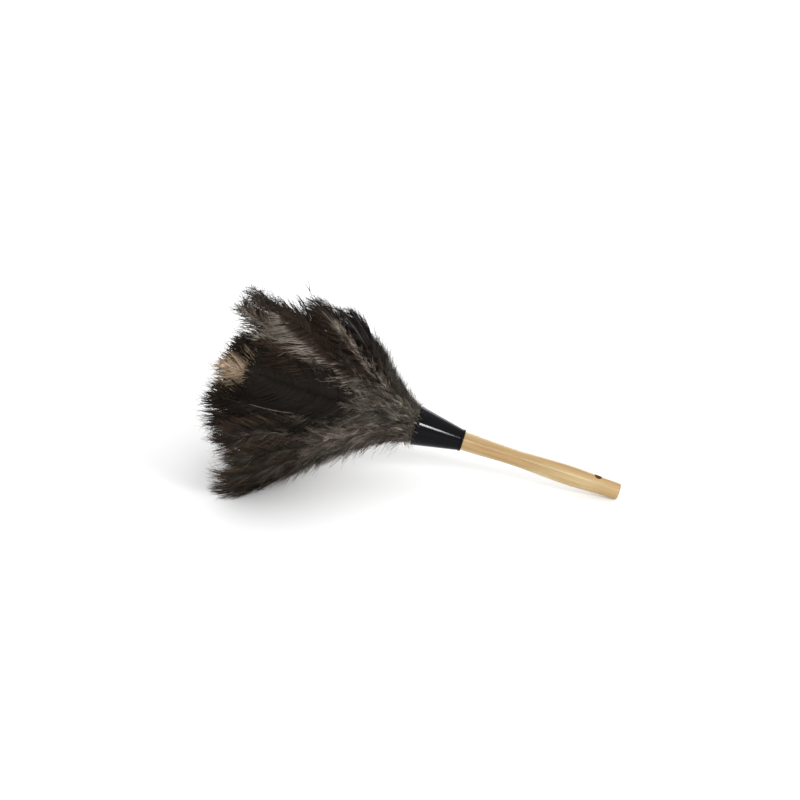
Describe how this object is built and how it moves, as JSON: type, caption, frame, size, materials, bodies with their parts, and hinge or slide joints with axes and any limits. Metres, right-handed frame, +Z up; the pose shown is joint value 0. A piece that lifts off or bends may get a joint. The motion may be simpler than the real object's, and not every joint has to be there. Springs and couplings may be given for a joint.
{
  "type": "feather duster",
  "caption": "Hand duster: turned wooden handle with a hang hole, glossy black plastic collar and a wide, layered head of dark ostrich-type feathers.",
  "frame": {"origin": "the point on the table under the middle of the duster's box, as it lies on a table on its feather tips and the end of its handle", "axes": "+X along the table from the head to the end of the handle, +Z up; the duster's own axis slopes down 16.5 degrees towards +X"},
  "size_m": [0.5076, 0.2796, 0.2541],
  "materials": {
    "varnished_wood": "light turned hardwood under clear satin varnish",
    "black_plastic": "glossy moulded black plastic",
    "binding_steel": "plain drawn steel wire",
    "black_feather": "near-black feather with grey-brown down at its root",
    "brown_feather": "dark grey-brown feather with fluffy down at its root",
    "tan_feather": "light tan feather with darker barb tips"
  },
  "bodies": {
    "root": {"collar": "black_plastic", "handle": "varnished_wood", "inner_binding_wire": "binding_steel", "inner_feather_01": "black_feather", "inner_feather_02": "black_feather", "inner_feather_03": "tan_feather", "inner_feather_04": "black_feather", "inner_feather_05": "black_feather", "inner_feather_06": "black_feather", "inner_feather_07": "black_feather", "inner_feather_08": "black_feather", "inner_feather_09": "brown_feather", "inner_feather_10": "brown_feather", "middle_binding_wire": "binding_steel", "middle_feather_01": "brown_feather", "middle_feather_02": "brown_feather", "middle_feather_03": "black_feather", "middle_feather_04": "tan_feather", "middle_feather_05": "black_feather", "middle_feather_06": "black_feather", "middle_feather_07": "brown_feather", "middle_feather_08": "black_feather", "middle_feather_09": "brown_feather", "middle_feather_10": "brown_feather", "middle_feather_11": "black_feather", "middle_feather_12": "brown_feather", "middle_feather_13": "brown_feather", "middle_feather_14": "brown_feather", "middle_feather_15": "black_feather", "middle_feather_16": "brown_feather", "outer_binding_wire": "binding_steel", "outer_feather_01": "black_feather", "outer_feather_02": "brown_feather", "outer_feather_03": "brown_feather", "outer_feather_04": "brown_feather", "outer_feather_05": "black_feather", "outer_feather_06": "black_feather", "outer_feather_07": "black_feather", "outer_feather_08": "black_feather", "outer_feather_09": "black_feather", "outer_feather_10": "brown_feather", "outer_feather_11": "brown_feather", "outer_feather_12": "brown_feather", "outer_feather_13": "brown_feather", "outer_feather_14": "tan_feather", "outer_feather_15": "brown_feather", "outer_feather_16": "black_feather", "outer_feather_17": "black_feather", "outer_feather_18": "black_feather", "outer_feather_19": "brown_feather", "outer_feather_20": "black_feather", "outer_feather_21": "brown_feather", "outer_feather_22": "black_feather"}
  },
  "joints": []
}
